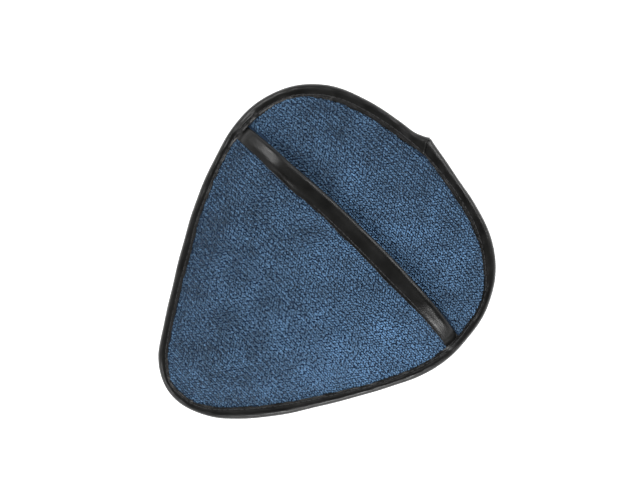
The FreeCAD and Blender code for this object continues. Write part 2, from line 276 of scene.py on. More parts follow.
def past_mouth(x, y):
    """Distance past the pocket's mouth edge towards the crown, negative over the pocket."""
    return np.hypot(x - MOUTH_CENTRE[0], y - MOUTH_CENTRE[1]) - MOUTH_RADIUS


def spokes(room, centre, count):
    """Angles and lengths of spokes from a centre to where room(x, y) runs out, evenly spaced along it.

    Each length is found by halving, and the angles by measuring along the edge."""

    def reach(angle):
        low, high = np.zeros_like(angle), np.full_like(angle, 200 * MM)
        for _ in range(26):
            half = (low + high) / 2
            clear = room(centre[0] + half * np.cos(angle), centre[1] + half * np.sin(angle)) > 0
            low, high = np.where(clear, half, low), np.where(clear, high, half)
        return low

    fine = np.linspace(0, TURN, 1441)
    edge = reach(fine)[:, None] * np.stack([np.cos(fine), np.sin(fine)], axis=-1)
    travelled = np.append(0, np.cumsum(np.hypot(*np.diff(edge, axis=0).T)))
    angle = np.interp(np.linspace(0, travelled[-1], count, endpoint=False), travelled, fine)
    return angle, reach(angle)


# ---------------------------------------------------------------- heights


def swell(inset, reach, power):
    """Share of the full height: 1 - (1 - u)^power, where u goes from 0 at the tape to 1 at reach."""
    share = np.clip((inset - SWELL_FROM) / (reach - SWELL_FROM), 0, 1)
    return 1 - (1 - share) ** power


def padding(x, y, sewn, full):
    """Drafted height of a surface of the padding that is sewn at one level and full at another."""
    return sewn + (full - sewn) * swell(inset_at(x, y), 22 * MM, 1.7)


@functools.lru_cache(maxsize=None)
def cushion():
    """The padding blown up as cloth: spoke lengths, and how far its top and underside move, by ring.

    A closed form of two crowned sheets, a little slacker than the drafted one, is pinned where the tape
    holds it and swells under pressure. Each move is capped, and the underside stops at the floor."""
    angle = np.linspace(0, TURN, CUSHION_SPOKES, endpoint=False)
    reach = spoke_lengths(angle)
    share = np.linspace(0, 1, CUSHION_RINGS)[:, None]
    x = MIDDLE[0] + share * reach * np.cos(angle)
    y = MIDDLE[1] + share * reach * np.sin(angle)
    loops = bpy.context.scene.pad_sizes.loop_height
    top = padding(x, y, RIM_HIGH, BACK_HIGH - loops)
    under = padding(x, y, RIM_LOW, loops)
    slack = 0.9 * MM * swell(inset_at(x, y), 30 * MM, 1.5)
    upper = np.stack([x, y, top - slack], axis=-1)
    lower = np.stack([x, y, under + slack], axis=-1)
    points, polygons = shell(upper, lower)
    pinned = inset_at(points[:, 0], points[:, 1]) < FLANGE + 1 * MM
    moved = inflated(points, polygons, pinned)[:, 2] - points[:, 2]
    moved = np.clip(moved, -2 * MM, 2 * MM)
    count = (CUSHION_RINGS - 1) * CUSHION_SPOKES
    raised = moved[1:count + 1].reshape(-1, CUSHION_SPOKES)
    raised = np.vstack([np.full((1, CUSHION_SPOKES), moved[0]), raised])
    sunk = moved[count + 1:-1].reshape(-1, CUSHION_SPOKES)[::-1]
    sunk = np.vstack([np.full((1, CUSHION_SPOKES), moved[-1]), sunk])
    return reach, raised - slack, np.maximum(sunk + slack, loops - under)


def spoke_lengths(angle):
    """Lengths of spokes from the pad's middle to its outline."""
    room = functools.partial(inset_less, 0.0)
    fine, reach = spokes(room, MIDDLE, 720)
    return np.interp(angle, np.append(fine, TURN), np.append(reach, reach[0]))


def inset_less(margin, x, y):
    """Room left inside the outline after a margin."""
    return inset_at(x, y) - margin


def inflated(points, polygons, pinned):
    """Where the points of a closed cloth come to rest after 20 frames under pressure, without gravity."""
    scene = bpy.context.scene
    trial = mesh_object("cushion_trial", points, polygons)
    sewn = trial.vertex_groups.new(name="sewn")
    sewn.add(np.flatnonzero(pinned).tolist(), 1.0, "REPLACE")
    cloth = trial.modifiers.new("Cloth", "CLOTH")
    cloth.settings.quality = 6
    cloth.settings.vertex_group_mass = "sewn"
    cloth.settings.use_pressure = True
    cloth.settings.uniform_pressure_force = 4.0
    cloth.settings.effector_weights.gravity = 0.0
    for number in range(1, 21):
        scene.frame_set(number)
    rested = trial.evaluated_get(bpy.context.evaluated_depsgraph_get()).to_mesh()
    places = np.empty(3 * len(rested.vertices), np.float32)
    rested.vertices.foreach_get("co", places)
    mesh = trial.data
    bpy.data.objects.remove(trial)
    bpy.data.meshes.remove(mesh)
    scene.frame_set(1)
    return places.reshape(-1, 3).astype(float)


def read_cushion(x, y, side):
    """The simulated move of the padding's top (side 0) or underside (side 1), read between its spokes."""
    found = cushion()
    reach, moves = found[0], found[1 + side]
    turn = np.mod(np.arctan2(y - MIDDLE[1], x - MIDDLE[0]), TURN) / TURN * CUSHION_SPOKES
    first = turn.astype(int) % CUSHION_SPOKES
    second = (first + 1) % CUSHION_SPOKES
    part = turn - np.floor(turn)
    edge = reach[first] * (1 - part) + reach[second] * part
    ring = np.clip(np.hypot(x - MIDDLE[0], y - MIDDLE[1]) / edge, 0, 1) * (CUSHION_RINGS - 1)
    inner = np.minimum(ring.astype(int), CUSHION_RINGS - 2)
    step = ring - inner
    at_first = moves[inner, first] * (1 - step) + moves[inner + 1, first] * step
    at_second = moves[inner, second] * (1 - step) + moves[inner + 1, second] * step
    return at_first * (1 - part) + at_second * part


def settle(x, y):
    """Slight unevenness of the padding, fading out to the tape."""
    return 0.28 * MM * drift(x, y, 55 * MM, 5) * swell(inset_at(x, y), 22 * MM, 1.7)


def back_ground(x, y):
    """Top of the back panel's knitted ground."""
    open_side = eased((past_mouth(x, y) + 14 * MM) / (10 * MM))
    sewn = POCKET_SEWN + (RIM_HIGH - POCKET_SEWN) * open_side
    full = BACK_HIGH - bpy.context.scene.pad_sizes.loop_height
    return padding(x, y, sewn, full) + read_cushion(x, y, 0) + settle(x, y)


def back_underside(x, y):
    """Underside of the back panel, which is the foam's top."""
    return padding(x, y, BACK_SEWN, FOAM_HIGH) + read_cushion(x, y, 0) + settle(x, y)


def foam_underside(x, y):
    """Underside of the foam, which is the top of the polishing face."""
    return padding(x, y, FACE_SEWN, FOAM_LOW) + read_cushion(x, y, 1)


def face_ground(x, y):
    """Underside of the polishing face's knitted ground."""
    full = bpy.context.scene.pad_sizes.loop_height
    return padding(x, y, RIM_LOW, full) + read_cushion(x, y, 1)


def dome(x, y, sewn, full):
    """Height of a surface of the pocket, arched over the fingers and uneven where the cloth is slack."""
    share = swell(inset_at(x, y), 34 * MM, 1.9)
    sag = -1.3 * MM * eased(1 + past_mouth(x, y) / (60 * MM))
    uneven = 0.3 * MM * drift(x, y, 60 * MM, 9) + 0.5 * read_cushion(x, y, 0)
    return sewn + (full - sewn + sag + uneven) * share


def pocket_ground(x, y):
    """Top of the pocket panel's knitted ground."""
    return dome(x, y, RIM_HIGH, POCKET_HIGH - bpy.context.scene.pad_sizes.loop_height)


def pocket_underside(x, y):
    """Underside of the pocket panel."""
    return dome(x, y, POCKET_SEWN, POCKET_HIGH - POCKET_PLY)


# ---------------------------------------------------------------- meshes


def grid_quads(rows, columns, closed_rows=False, closed_columns=True):
    """Quads of a grid of points numbered row by row, joined up across either direction if closed."""
    row = np.arange(rows if closed_rows else rows - 1)[:, None]
    column = np.arange(columns if closed_columns else columns - 1)[None, :]
    next_row, next_column = (row + 1) % rows, (column + 1) % columns
    corners = [row * columns + column, row * columns + next_column,
               next_row * columns + next_column, next_row * columns + column]
    return np.stack([np.broadcast_to(c, (row.size, column.size)).ravel() for c in corners], axis=-1)


def fan(pole, ring):
    """Triangles from a pole to each side of a closed ring of point numbers."""
    return np.stack([np.full(len(ring), pole), ring, np.roll(ring, -1)], axis=-1)


def shell(upper, lower):
    """Points and polygons of a closed form: an upper and a lower sheet of rings that meet at the edge.

    Ring 0 of each sheet is its pole. The points run from the upper pole out to the edge, and back in
    along the lower sheet to its pole."""
    count = upper.shape[1]
    rings = np.concatenate([upper[1:], lower[:0:-1]])
    points = np.vstack([upper[:1, 0], rings.reshape(-1, 3), lower[:1, 0]])
    last = 1 + (len(rings) - 1) * count
    first_ring, last_ring = 1 + np.arange(count), last + np.arange(count)
    walls = 1 + grid_quads(len(rings), count)
    return points, [fan(0, first_ring), walls, fan(len(points) - 1, last_ring)[:, ::-1]]


def volume(points, polygons):
    """Six times the volume that the polygons enclose, positive where they face outwards."""
    total = 0.0
    for corners in polygons:
        a = points[corners[:, 0]]
        for k in range(1, corners.shape[1] - 1):
            b, c = points[corners[:, k]], points[corners[:, k + 1]]
            total += np.einsum("ij,ij->", a, np.cross(b, c))
    return total


def mesh_object(name, points, polygons, uv=None, tone_and_shade=None, material=None):
    """An object from points and lists of polygons of equal size, turned to face outwards.

    uv holds a pair and tone_and_shade a brightness, painted shade included, for each point."""
    if volume(points, polygons) < 0:
        polygons = [corners[:, ::-1] for corners in polygons]
    corners = np.concatenate([p.ravel() for p in polygons]).astype(np.int32)
    sizes = np.concatenate([np.full(len(p), p.shape[1]) for p in polygons])
    mesh = bpy.data.meshes.new(name)
    mesh.vertices.add(len(points))
    mesh.vertices.foreach_set("co", np.asarray(points, np.float32).ravel())
    mesh.loops.add(len(corners))
    mesh.loops.foreach_set("vertex_index", corners)
    mesh.polygons.add(len(sizes))
    mesh.polygons.foreach_set("loop_start", (np.cumsum(sizes) - sizes).astype(np.int32))
    mesh.polygons.foreach_set("use_smooth", np.ones(len(sizes), bool))
    if uv is not None:
        layer = mesh.uv_layers.new(name="UVMap")
        layer.data.foreach_set("uv", np.asarray(uv, np.float32)[corners].ravel())
    if tone_and_shade is not None:
        attribute = mesh.attributes.new("tone_and_shade", "FLOAT", "POINT")
        attribute.data.foreach_set("value", np.asarray(tone_and_shade, np.float32))
    mesh.update(calc_edges=True)
    mesh.validate()
    if material is not None:
        mesh.materials.append(material)
    piece = bpy.data.objects.new(name, mesh)
    bpy.context.scene.collection.objects.link(piece)
    return piece


def finished(piece, slot, *nodes):
    """Makes a piece ride on the pad's only body and stand for its nodes, which are hidden. The slot is not
    used.
    """
    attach(piece, "root")
    if nodes:
        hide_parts(*nodes)
    return piece


def ply(name, room, centre, top, underside, material, rings=44, count=300):
    """A closed sheet of cloth or foam between two height functions, out to where room runs out.

    Its points lie on spokes from a centre: place = centre + share * length * direction."""
    angle, reach = spokes(room, centre, count)
    share = np.linspace(0, 1, rings)[:, None]
    x = centre[0] + share * reach * np.cos(angle)
    y = centre[1] + share * reach * np.sin(angle)
    upper = np.stack([x, y, top(x, y)], axis=-1)
    lower = np.stack([x, y, underside(x, y)], axis=-1)
    points, polygons = shell(upper, lower)
    edge = np.stack([x[-1], y[-1]], axis=-1)
    area = 0.5 * abs(np.sum(edge[:, 0] * np.roll(edge[:, 1], -1) - np.roll(edge[:, 0], -1) * edge[:, 1]))
    return mesh_object(name, points, polygons, material=material), np.ptp(edge, axis=0), area


def tubes(centre_lines, radius, across, sides):
    """Points and polygons of closed tubes round many centre lines at once.

    centre_lines is (tubes, rings, 3), and across is a direction for each tube that its line doesn't
    follow. A ring is the circle round the line's tangent t: radius * (cos(a) n + sin(a) t x n)."""
    count, rings = centre_lines.shape[:2]
    tangent = np.gradient(centre_lines, axis=1)
    tangent /= np.linalg.norm(tangent, axis=-1, keepdims=True)
    side = across[:, None, :] - np.sum(across[:, None, :] * tangent, axis=-1, keepdims=True) * tangent
    side /= np.linalg.norm(side, axis=-1, keepdims=True)
    other = np.cross(tangent, side)
    angle = np.arange(sides) * TURN / sides
    round_it = side[:, :, None] * np.cos(angle)[:, None] + other[:, :, None] * np.sin(angle)[:, None]
    points = centre_lines[:, :, None] + radius[..., None, None] * round_it
    one = grid_quads(rings, sides)
    caps = np.stack([np.arange(sides)[::-1], (rings - 1) * sides + np.arange(sides)])
    starts = (np.arange(count) * rings * sides)[:, None, None]
    return points.reshape(-1, 3), [(starts + one).reshape(-1, 4), (starts + caps).reshape(-1, sides)]


# ---------------------------------------------------------------- terry


def loop_places(seed, room, stretch):
    """Places of the loops where room(x, y) allows them, that room, and 1 or 0 for high and low courses.

    Only those in a stretch of Y are given, so that a large panel's loops can be made in two pieces.

    A rib has two courses of loops along X, a high one and a low one half a loop further on. They bend a
    little across the pad, and each loop is jittered."""
    sizes = bpy.context.scene.pad_sizes
    rng = np.random.default_rng(seed)
    course_pitch = sizes.rib_pitch / 2
    row = np.arange(round(2 * HALF_LENGTH / course_pitch))
    column = np.arange(round(2 * HALF_WIDTH / sizes.loop_pitch))
    column_x, row_y = column * sizes.loop_pitch - HALF_WIDTH, row * course_pitch - HALF_LENGTH
    x, y = np.meshgrid(column_x, row_y)
    x = x + 0.5 * sizes.loop_pitch * (row[:, None] % 2)
    y = y + 0.9 * MM * drift(x, y, 120 * MM, 21) - 5 * MM * (x / (80 * MM)) ** 2 * eased(y / (60 * MM) - 0.4)
    x = x + rng.normal(0, 0.15, x.shape) * sizes.loop_pitch
    y = y + rng.normal(0, 0.1, x.shape) * course_pitch
    high = np.broadcast_to(1.0 - row[:, None] % 2, x.shape).ravel()
    x, y = x.ravel(), y.ravel()
    space = room(x, y)
    kept = (space > 0) & (y > stretch[0]) & (y <= stretch[1])
    return x[kept], y[kept], space[kept], high[kept]


def painted_pile_shading(x, y):
    """Painted light and shade on the pile: darker near the left, the tip and the crown, lighter at the right.
    """
    total = 0.0
    for place_x, place_y, reach, push in ((-58, 2, 20, -0.26), (-46, -34, 17, -0.24), (2, -70, 22, -0.28),
                                          (58, 0, 24, 0.24), (42, -26, 12, 0.12), (8, 46, 17, 0.17),
                                          (44, 48, 15, 0.15), (-20, 80, 18, -0.2), (32, 76, 13, -0.18),
                                          (-56, 66, 16, -0.18)):
        total = total + push * hump(np.hypot(x - place_x * MM, y - place_y * MM), 0.0, reach * MM)
    return total


def terry(name, seed, room, stretch, ground, up):
    """Terry loops on a panel: each yarn arches from foot to foot, leaning and twisted at random.

    With a from 0 to pi, a loop's line goes -cos(a)/2 of its span along its heading, sin(a) of its
    height up, and sin(a) of its lean sideways. The feet are buried in the ground, and the loops beside
    a tape are pressed low, because it is sewn down on them."""
    sizes = bpy.context.scene.pad_sizes
    rng = np.random.default_rng(seed)
    x, y, space, high = loop_places(seed, room, stretch)
    count = len(x)
    twist = rng.normal(0, 0.42, count) + 0.3 * drift(x, y, 30 * MM, seed + 1)
    along = np.stack([np.cos(twist), np.sin(twist), np.zeros(count)], axis=-1)
    span = sizes.loop_pitch * rng.uniform(0.5, 0.8, count)
    pressed = 0.3 + 0.7 * eased(space / (3.2 * MM))
    height = (sizes.loop_height - 1.1 * sizes.yarn_radius) * rng.uniform(0.8, 1.0, count)
    height = height * (0.35 + 0.65 * high) * pressed
    lean_angle = TURN * (0.5 + 0.5 * drift(x, y, 70 * MM, seed + 2)) + rng.normal(0, 0.9, count)
    lean = 0.32 * MM * rng.uniform(0.2, 1.2, count) * pressed
    lean = np.stack([lean * np.cos(lean_angle), lean * np.sin(lean_angle), np.zeros(count)], axis=-1)
    arch = np.linspace(0, math.pi, 4)[None, :, None]
    foot = np.stack([x, y, ground(x, y) - up * 0.3 * MM], axis=-1)
    rise = np.zeros((count, 1, 3))
    rise[:, 0, 2] = up * (height + 0.3 * MM)
    lines = (foot[:, None] - 0.5 * np.cos(arch) * (span[:, None] * along)[:, None]
             + np.sin(arch) / math.sin(math.pi / 3) * (rise + lean[:, None]))
    thick = sizes.yarn_radius * rng.uniform(0.88, 1.08, (count, 1)) * np.array([[0.9, 1.04, 1.04, 0.9]])
    across = np.cross(along, [0.0, 0.0, 1.0])
    points, polygons = tubes(lines, thick, across, 4)
    # Painted shade: the low course is drawn darker than the high one, and painted_pile_shading adds painted
    # light and shade in patches; the rest varies at random.
    tone_and_shade = 0.43 + 0.165 * high + 0.135 * rng.normal(0, 1, count) + 0.14 * drift(x, y, 20 * MM, 33) + painted_pile_shading(x, y)
    loops = mesh_object(name, points, polygons, tone_and_shade=np.repeat(tone_and_shade, 16), material=terry_material())
    return finished(loops, "microfibre")


# ---------------------------------------------------------------- rooms


def face_room(x, y):
    """Room for the polishing face's loops, up to the tape's lower edge."""
    return inset_at(x, y) - 6.6 * MM


def within_tape(x, y):
    """Room inside the rim tape's upper flange, whose edge lies over the outermost loops."""
    inset, along = nearest_rim(x, y)
    return inset - flange_width(along) + LOOPS_UNDER


def back_room(x, y):
    """Room for the back panel's loops, which run a little way into the pocket except at its sewn ends."""
    open_part = np.maximum(past_mouth(x, y) - 0.4 * MM, inset_at(x, y) - 20 * MM)
    return np.minimum(np.minimum(within_tape(x, y), open_part), past_mouth(x, y) + 16 * MM)


def pocket_room(x, y):
    """Room for the pocket panel's loops, up to the edges of the two tapes."""
    edge = mouth_reach(x) + mouth_drop(x) - LOOPS_UNDER
    return np.minimum(within_tape(x, y), -past_mouth(x, y) - edge)


def pocket_cloth_room(x, y):
    """Room for the pocket panel itself, up to the fold in its tape."""
    return np.minimum(inset_at(x, y) - CLOTH_MARGIN, -past_mouth(x, y) - 2.2 * MM)


# ---------------------------------------------------------------- tapes


def lap_start():
    """Where the rim tape's upper end lies along the outline, on the crown."""
    return nearest_along(-6 * MM, 94 * MM)


def lap_outline(run):
    """How far the rim tape's fold stands out near the lap, at a distance from its upper end.

    Left of that end it falls off steeply and dips in, and right of it, gently. The end underneath, past
    a whole turn, follows the same line inside the upper end by more than the tape's thickness."""
    offset = np.where(run > PERIMETER / 2, run - PERIMETER, run)
    left = 2.5 * MM * np.exp(-np.maximum(offset, 0) / (3.6 * MM))
    left = left - 1.45 * MM * hump(offset, 9.5 * MM, 4.6 * MM)
    right = 3.3 * MM * np.exp(np.minimum(offset, 0) / (11 * MM))
    tucked = (TAPE + 0.9 * MM) * eased((offset - 0.6 * MM) / (2 * MM)) * (run > PERIMETER / 2)
    return np.where(offset >= 0, left, right) - tucked


def lap_lift(run):
    """How far the rim tape's upper end stands off the end beneath it: 1 mm, eased away past the lap."""
    return 1.0 * MM * (1 - eased((run - 9 * MM) / (12 * MM)))


def flange_width(along):
    """How far in the rim tape's upper flange reaches: eased between widths at places round the rim."""
    rim = np.array([(-9, -92, 3.8), (4, -93, 4.9), (20, -87, 6.1), (36, -66, 5.7), (58, -37, 5.7),
                    (69, -16, 4.7), (77, 3, 4.4), (83, 24, 5.2), (83, 42, 5.3), (77, 59, 4.2),
                    (62, 77, 6.2), (48, 85, 7.2), (20, 92, 7.3), (2, 94, 6.4), (-10, 94, 6.5),
                    (-22, 92, 7.5), (-60, 80, 7.6), (-76, 63, 6.1), (-83, 38, 7.1), (-76, 6, 4.7),
                    (-63, -22, 4.6), (-55, -37, 5.7), (-40, -61, 5.4), (-28, -77, 5.0), (-20, -87, 5.0)]) * MM
    places = np.array([nearest_along(x, y) for x, y in rim[:, :2]])
    order = np.argsort(places)
    places, widths = places[order], rim[order, 2]
    places = np.concatenate([places[-1:] - PERIMETER, places, places[:1] + PERIMETER])
    widths = np.concatenate([widths[-1:], widths, widths[:1]])
    along = np.mod(along, PERIMETER)
    k = np.searchsorted(places, along, side="right") - 1
    share = eased((along - places[k]) / (places[k + 1] - places[k]))
    return widths[k] + (widths[k + 1] - widths[k]) * share


def seam_inset(along):
    """How far in the rim seam runs: at its usual place, or nearer the fold where the flange is narrow."""
    return np.minimum(RIM_SEAM, flange_width(along) - SEAM_TO_EDGE)


def rolled(along):
    """How far the rim tape rolls outwards, or is pulled in, at places round the rim."""
    total = 0.0
    for x, y, reach, push in ((38, -65, 16, 1.1), (77, 4, 14, 1.4), (83, 37, 7, -0.4), (76, 60, 9, 0.4),
                              (65, 74, 14, 1.0), (22, 92, 7, -0.45), (-68, 72, 20, 0.4), (-80, 30, 13, -0.8),
                              (-67, -13, 18, 0.75), (-57, -32, 9, -0.4), (-42, -58, 16, -0.5),
                              (-24, -83, 11, 0.4), (-5, -92, 10, 0.6), (16, -89, 7, -0.8)):
        apart = np.mod(along - nearest_along(x * MM, y * MM) + PERIMETER / 2, PERIMETER) - PERIMETER / 2
        total = total + push * MM * hump(apart, 0.0, reach * MM)
    return total


def tape_section(flange_points, fold_points):
    """A folded tape's section, from one flange's edge round the fold to the other's.

    Returns for each point how far it is along its flange, from 0 at the fold to 1 at the edge, and its
    angle round the fold, from -90 to 90 degrees. The last two points of a flange lie close together,
    so that the cut edge stays sharp."""
    reach = np.append(np.linspace(0, 0.97, flange_points - 1), 1.0)
    flange = np.concatenate([reach[:0:-1], np.zeros(fold_points), reach[1:]])
    angle = np.concatenate([np.full(flange_points - 1, -math.pi / 2),
                            np.linspace(-math.pi / 2, math.pi / 2, fold_points),
                            np.full(flange_points - 1, math.pi / 2)])
    return flange, angle


def closed_strip(outer, inner):
    """Points and polygons of a strip whose section is a closed ring, with a cap at each end.

    outer and inner are (stations, points across, 3). The ring runs along one and back along the other."""
    ring = np.concatenate([outer, inner[:, ::-1]], axis=1)
    stations, count = ring.shape[:2]
    half = count // 2
    across = np.arange(half - 1)
    cap = np.stack([across, across + 1, count - 2 - across, count - 1 - across], axis=-1)
    last = (stations - 1) * count
    return ring.reshape(-1, 3), [grid_quads(stations, count), cap, (cap + last)[:, ::-1]]


def rim_tape(material):
    """The tape folded round the rim, from its upper end at the crown all round to its end under that.

    Its section is a stadium: a fold of half height H and depth R, place = (R (1 - cos a), H sin a), and
    two flanges that bulge between fold and seam, dip at the seam and lift at their gathered edges. Past
    the seam the upper one lies on crushed pile."""
    start = lap_start()
    run = np.linspace(0, PERIMETER + RIM_LAP, 620)[:, None]
    flange, angle = tape_section(13, 13)
    side = np.sign(angle)
    on_top = side > 0
    lifted = lap_lift(run)
    pucker = lap_outline(run)
    wander = 0.14 * MM * waves(run, (61 * MM, 37 * MM, 23 * MM), 2) + rolled(start + run)
    width = flange_width(start + run) + 0.25 * MM * waves(run, (19 * MM, 11 * MM, 7 * MM), 3)
    width = np.where(on_top, width, FLANGE)
    depth = 2.3 * MM
    half = (RIM_HIGH - RIM_LOW) / 2 + TAPE
    level = (RIM_HIGH + RIM_LOW) / 2
    inset = depth * (1 - np.cos(angle) ** 0.85) + flange * (width - depth)
    bend = sum(1 / rim_at(start + run[:, 0] + shift * MM)[2] for shift in (-8, -4, 0, 4, 8)) / 5
    gathered = np.clip(bend[:, None] * 30 * MM, 0.12, 1.0)
    folds = waves(run, (4.1 * MM, 3.1 * MM, 5.3 * MM), 7) * (0.6 + 0.4 * waves(run, (31 * MM, 47 * MM), 8))
    slack = waves(run + 1.1 * inset, (27 * MM, 15 * MM, 9 * MM), 11)
    sewn_at = seam_inset(start + run)
    seam = hump(inset, sewn_at, 0.9 * MM)
    stitched = 0.5 + 0.5 * np.cos(TURN * run / bpy.context.scene.pad_sizes.stitch_pitch)
    bulge = 0.22 * MM * np.sin(math.pi * np.clip((inset - 1 * MM) / (sewn_at - 1 * MM), 0, 1))
    edge_lift = 0.35 * MM * gathered * folds * eased((inset - sewn_at) / (2.2 * MM))
    dip = -(0.06 + 0.08 * stitched) * MM * seam
    on_pile = 0.2 * MM * eased((inset - sewn_at) / (1.6 * MM)) * on_top
    body = bulge + 0.16 * MM * slack * eased(inset / (2 * MM)) + dip + edge_lift + on_pile
    mouth = mouth_bump(start + run) * on_top * eased((inset - 2.5 * MM) / (2 * MM))
    height = level + half * np.sign(angle) * np.abs(np.sin(angle)) ** 0.9
    height = height + side * (body + lifted) + mouth
    inset = inset - (pucker + lifted + wander) * np.cos(angle * 0.8) ** 0.5 * (1 - flange * 0.6)
    # The upper end is cut on a slant, further on at the flange's edge than at the fold.
    slant = 5.0 * MM * np.clip(inset / (8 * MM), 0, 1) * (1 - eased(run / (26 * MM)))
    outer = rim_place(start + run - slant, inset, height)
    inner = rim_place(start + run - slant, inset + TAPE * np.cos(angle), height - TAPE * np.sin(angle))
    points, polygons = closed_strip(outer, inner)
    across = np.cumsum(np.append(0, np.hypot(np.diff(inset[300]), np.diff(height[300]))))
    uv = strip_uv(run[:, 0], across)
    return mesh_object("rim_tape", points, polygons, uv=uv, material=material)


def rim_place(along, inset, height):
    """Points at distances along the outline, in from it and up."""
    point, out, _ = rim_at(along)
    place = point - inset[..., None] * out
    return np.concatenate([place, np.broadcast_to(height, along.shape)[..., None]], axis=-1)


def strip_uv(along, across):
    """The unrolled place of each point of a closed strip: metres along it and metres across it."""
    u, v = np.meshgrid(along, np.concatenate([across, across[::-1]]), indexing="ij")
    return np.stack([u, v], axis=-1).reshape(-1, 2)


def mouth_ends():
    """Where the mouth tape's middle line runs under the rim tape, along the outline: right, then left."""
    return [nearest_along(x * MM, 33 * MM) for x in (84, -84)]


def mouth_bump(along):
    """How far the rim tape is lifted where it covers the mouth tape's ends."""
    along = np.mod(along, PERIMETER)
    right, left = mouth_ends()
    reach = 5.2 * MM
    lifted = [1 - eased((np.abs(along - place) - reach) / (4 * MM)) for place in (right, left)]
    return 0.85 * MM * (lifted[0] + lifted[1])


def mouth_place(along, below):
    """Points along the mouth's arc, below its edge towards the tip."""
    angle = math.pi / 2 - along / MOUTH_RADIUS
    radius = MOUTH_RADIUS - below
    return MOUTH_CENTRE[0] + radius * np.cos(angle), MOUTH_CENTRE[1] + radius * np.sin(angle)


def mouth_drop(x):
    """How far the mouth tape's fold sags from the arc towards the tip, most left of the middle."""
    return 0.2 * MM + 1.35 * MM * hump(x, -34 * MM, 32 * MM)


def mouth_reach(x):
    """Width of the mouth tape's upper flange: pinched left of the middle, narrower near its ends."""
    pinch = 0.6 * MM * hump(x, -22 * MM, 16 * MM)
    right, left = eased((x - 26 * MM) / (44 * MM)), eased((-x - 34 * MM) / (42 * MM))
    return bpy.context.scene.pad_sizes.mouth_tape_width - pinch - 2.0 * MM * right - 1.9 * MM * left


def mouth_span():
    """Distances along the mouth's arc between which it is inside the rim tape's fold."""
    along = np.linspace(-110 * MM, 110 * MM, 2201)
    inside = inset_at(*mouth_place(along, 5 * MM)) > 2.6 * MM
    return along[inside][0], along[inside][-1]


def mouth_levels(x, y):
    """Upper and lower outer faces of the mouth tape, pressed flat where it runs under the rim tape."""
    pressed = 1 - eased((inset_at(x, y) - 5.5 * MM) / (6 * MM))
    crushed = 0.75 * MM
    upper = pocket_ground(x, y) + (crushed + TAPE) * (1 - pressed)
    lower = pocket_underside(x, y) - TAPE
    return upper + pressed * 0.75 * MM, lower + pressed * TAPE


def mouth_tape(material):
    """The tape folded over the pocket's mouth: a fold of depth R between two flanges on the panel.

    The lower flange is the upper one's width less 0.3 mm, so one seam catches both."""
    sizes = bpy.context.scene.pad_sizes
    first, last = mouth_span()
    run = np.linspace(first, last, 190)[:, None]
    flange, angle = tape_section(12, 9)
    side = np.sign(angle)
    depth = 1.5 * MM
    shown = mouth_reach(run + MOUTH_CENTRE[0]) + 0.25 * MM * waves(run, (83 * MM, 31 * MM, 17 * MM), 41)
    width = np.where(side > 0, shown, shown - 0.3 * MM)
    sewn_at = shown - SEAM_TO_EDGE
    below = depth * (1 - np.cos(angle) ** 0.8) + flange * (width - depth)
    wander = 0.2 * MM * waves(run, (71 * MM, 43 * MM), 43) - mouth_drop(run + MOUTH_CENTRE[0])
    x, y = mouth_place(run, below - wander)
    upper, lower = mouth_levels(x, y)
    level, half = (upper + lower) / 2, (upper - lower) / 2
    seam = hump(below, sewn_at, 0.6 * MM)
    stitched = 0.5 + 0.5 * np.cos(TURN * run / sizes.stitch_pitch)
    roll = 0.5 * MM * hump(below, 2.0 * MM, 1.3 * MM) * eased((inset_at(x, y) - 8 * MM) / (8 * MM))
    tilt = 0.9 * MM * hump(below, 6.8 * MM, 2.8 * MM) * eased((-x - 8 * MM) / (34 * MM))
    dents = 0.13 * MM * waves(run + 0.9 * below, (37 * MM, 21 * MM, 13 * MM), 45)
    puffed = 0.35 * MM * np.sin(math.pi * np.clip(below / sewn_at, 0, 1))
    body = roll + tilt + dents * (1 - 0.7 * seam) + puffed - (0.06 + 0.08 * stitched) * MM * seam
    body = body * eased((inset_at(x, y) - 6.5 * MM) / (3 * MM))
    height = level + half * side * np.abs(np.sin(angle)) ** 0.9 + side * body * np.where(side > 0, 1, 0.3)
    outer = np.stack([x, y, height], axis=-1)
    inner_x, inner_y = mouth_place(run, below - wander + TAPE * np.cos(angle))
    inner = np.stack([inner_x, inner_y, height - TAPE * np.sin(angle)], axis=-1)
    points, polygons = closed_strip(outer, inner)
    across = np.cumsum(np.append(0, np.hypot(np.diff(below[90]), np.diff(height[90]))))
    return mesh_object("mouth_tape", points, polygons, uv=strip_uv(run[:, 0], across), material=material)


# ---------------------------------------------------------------- stitches


def stitches(name, holes, up, material):
    """A seam's thread on one side: a short arch from each needle hole to the next, its ends in the tape.

    The line between two holes rises by sin(a) of the thread's radius and sinks at its ends."""
    sizes = bpy.context.scene.pad_sizes
    start, end = holes[:-1], holes[1:]
    share = np.array([0.04, 0.16, 0.34, 0.5, 0.66, 0.84, 0.96])
    lines = start[:, None] + share[None, :, None] * (end - start)[:, None]
    lines[:, :, 2] += up * sizes.thread_radius * (1.5 * np.sin(math.pi * share) ** 0.6 - 0.9)
    radius = sizes.thread_radius * np.array([[0.75, 0.95, 1.0, 1.03, 1.0, 0.95, 0.75]])
    radius = np.repeat(radius, len(start), axis=0)
    run = end - start
    across = np.cross(run, [0.0, 0.0, 1.0])
    points, polygons = tubes(lines, radius, across, 6)
    turn = np.tile(np.arange(6) / 6, len(start) * 7)
    along = np.tile(np.repeat(share, 6), len(start))
    return mesh_object(name, points, polygons, uv=np.stack([along, turn], axis=-1), material=material)


